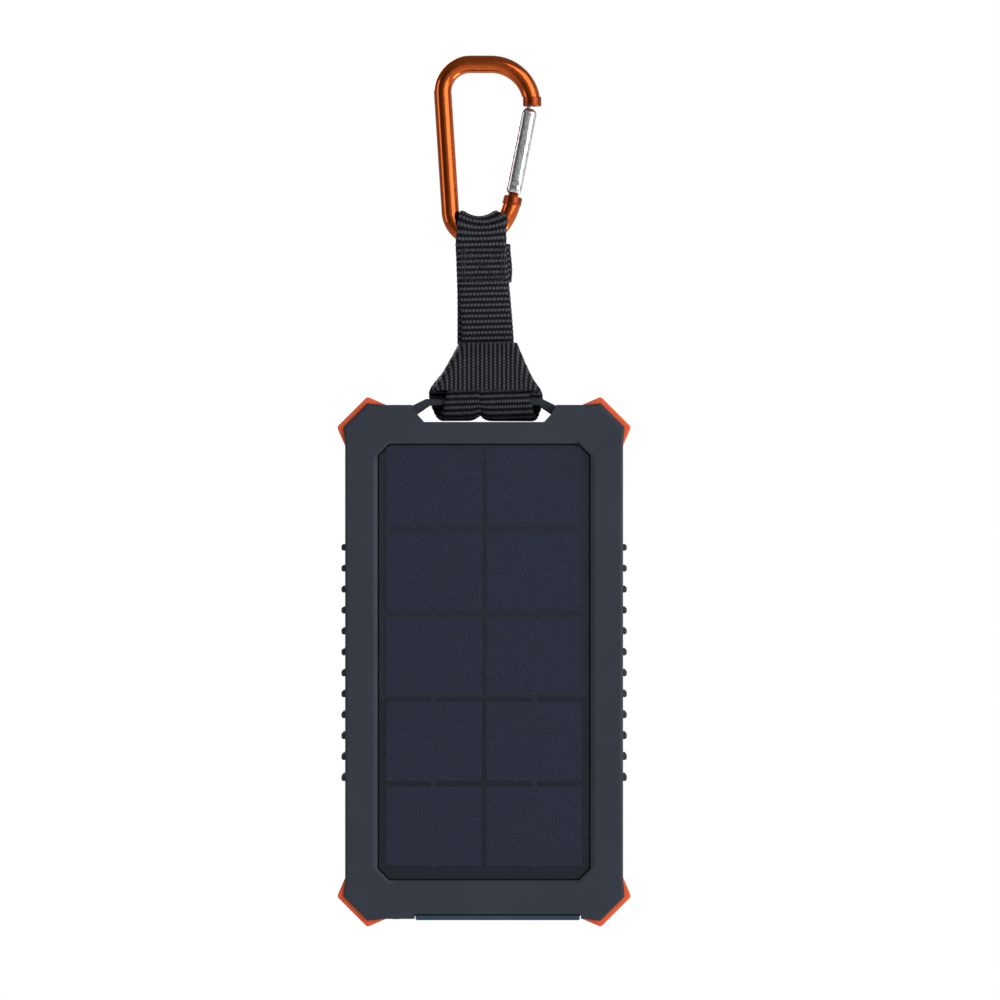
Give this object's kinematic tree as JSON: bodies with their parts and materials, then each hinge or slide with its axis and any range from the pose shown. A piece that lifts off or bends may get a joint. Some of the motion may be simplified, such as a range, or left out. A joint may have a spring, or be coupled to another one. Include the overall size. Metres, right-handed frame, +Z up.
{
  "type": "solar phone charger",
  "caption": "Rugged pocket solar battery charger with a front panel, rubber corner bumpers and port cover, hung by a webbing strap from a small carabiner.",
  "frame": {"origin": "inner face of the carabiner's top bow, where a hook or loop carries the object", "axes": "+Z up as it hangs, -Y out of the solar panel, +X to the right seen from the panel side"},
  "size_m": [0.0812, 0.018, 0.2417],
  "materials": {
    "orange_anodised": "bright orange anodised, polished",
    "gate_aluminium": "bright drawn aluminium",
    "steel": "zinc plated",
    "webbing": "black ribbed nylon webbing",
    "thread": "black bonded thread",
    "case_plastic": "fine matt texture, blue-grey",
    "bumper_orange": "orange overmoulded rubber",
    "panel_film": "matt clear film",
    "silicon": "dark blue monocrystalline silicon",
    "laminate": "black backing board",
    "copper": "tinned copper strip",
    "rubber": "dark teal-black soft rubber",
    "pouch": "aluminium laminate pouch",
    "foam": "closed cell foam",
    "board_green": "green solder mask",
    "chip_black": "black moulding compound",
    "lamp": "clear frosted plastic",
    "red_lead": "red insulation",
    "black_lead": "black insulation"
  },
  "bodies": {
    "carabiner": {"carabiner_body": "orange_anodised", "gate_rivet": "steel"},
    "gate": {"gate": "gate_aluminium", "gate_plunger": "steel", "gate_spring": "steel"},
    "strap": {"strap_webbing": "webbing", "strap_stitching": "thread"},
    "case": {"front_shell": "case_plastic", "rear_cover": "case_plastic", "case_seal": "rubber", "bumper_top_left": "bumper_orange", "bumper_top_right": "bumper_orange", "bumper_bottom_left": "bumper_orange", "bumper_bottom_right": "bumper_orange", "case_screw_1": "steel", "case_screw_2": "steel", "case_screw_3": "steel", "case_screw_4": "steel", "case_screw_5": "steel", "case_screw_6": "steel", "panel_cover": "panel_film", "panel_board": "laminate", "solar_cell_1": "silicon", "solar_cell_2": "silicon", "solar_cell_3": "silicon", "solar_cell_4": "silicon", "solar_cell_5": "silicon", "solar_cell_6": "silicon", "solar_cell_7": "silicon", "solar_cell_8": "silicon", "solar_cell_9": "silicon", "solar_cell_10": "silicon", "tabbing_left": "copper", "tabbing_right": "copper", "battery_cell_left": "pouch", "battery_cell_right": "pouch", "battery_foam": "foam", "battery_board": "board_green", "battery_lead": "black_lead", "panel_lead": "red_lead", "main_board": "board_green", "usb_socket_1": "steel", "usb_socket_2": "steel", "micro_usb_socket": "steel", "button_switch": "chip_black", "inductor": "chip_black", "charge_controller": "chip_black", "boost_controller": "chip_black", "light_pipe": "lamp", "status_led_1": "lamp", "status_led_2": "lamp", "status_led_3": "lamp", "status_led_4": "lamp"},
    "port_cover": {"port_cover": "rubber"},
    "power_button": {"power_button": "chip_black"}
  },
  "joints": [
    {"name": "gate_hinge", "type": "hinge", "parent": "carabiner", "child": "gate", "pos_m": [0.0087, 0, -0.0309], "axis": [0, -1, 0], "range_deg": [0, 26], "stiffness_Nm_per_rad": 0.02, "springref_deg": -20.05},
    {"name": "strap_swing", "type": "hinge", "parent": "carabiner", "child": "strap", "pos_m": [-0.0018, 0, -0.04577], "axis": [1, 0, 0], "range_deg": [-80, 80]},
    {"name": "case_swing", "type": "hinge", "parent": "strap", "child": "case", "pos_m": [0, 0, -0.09155], "axis": [1, 0, 0], "range_deg": [-75, 75]},
    {"name": "cover_hinge", "type": "hinge", "parent": "case", "child": "port_cover", "pos_m": [0.0037, 0.0052, -0.23435], "axis": [1, 0, 0], "range_deg": [0, 120]},
    {"name": "button_press", "type": "slide", "parent": "case", "child": "power_button", "axis": [0, 0, 1], "range_m": [0, 0.0004], "stiffness_N_per_m": 3000, "springref_m": -0.0001}
  ]
}
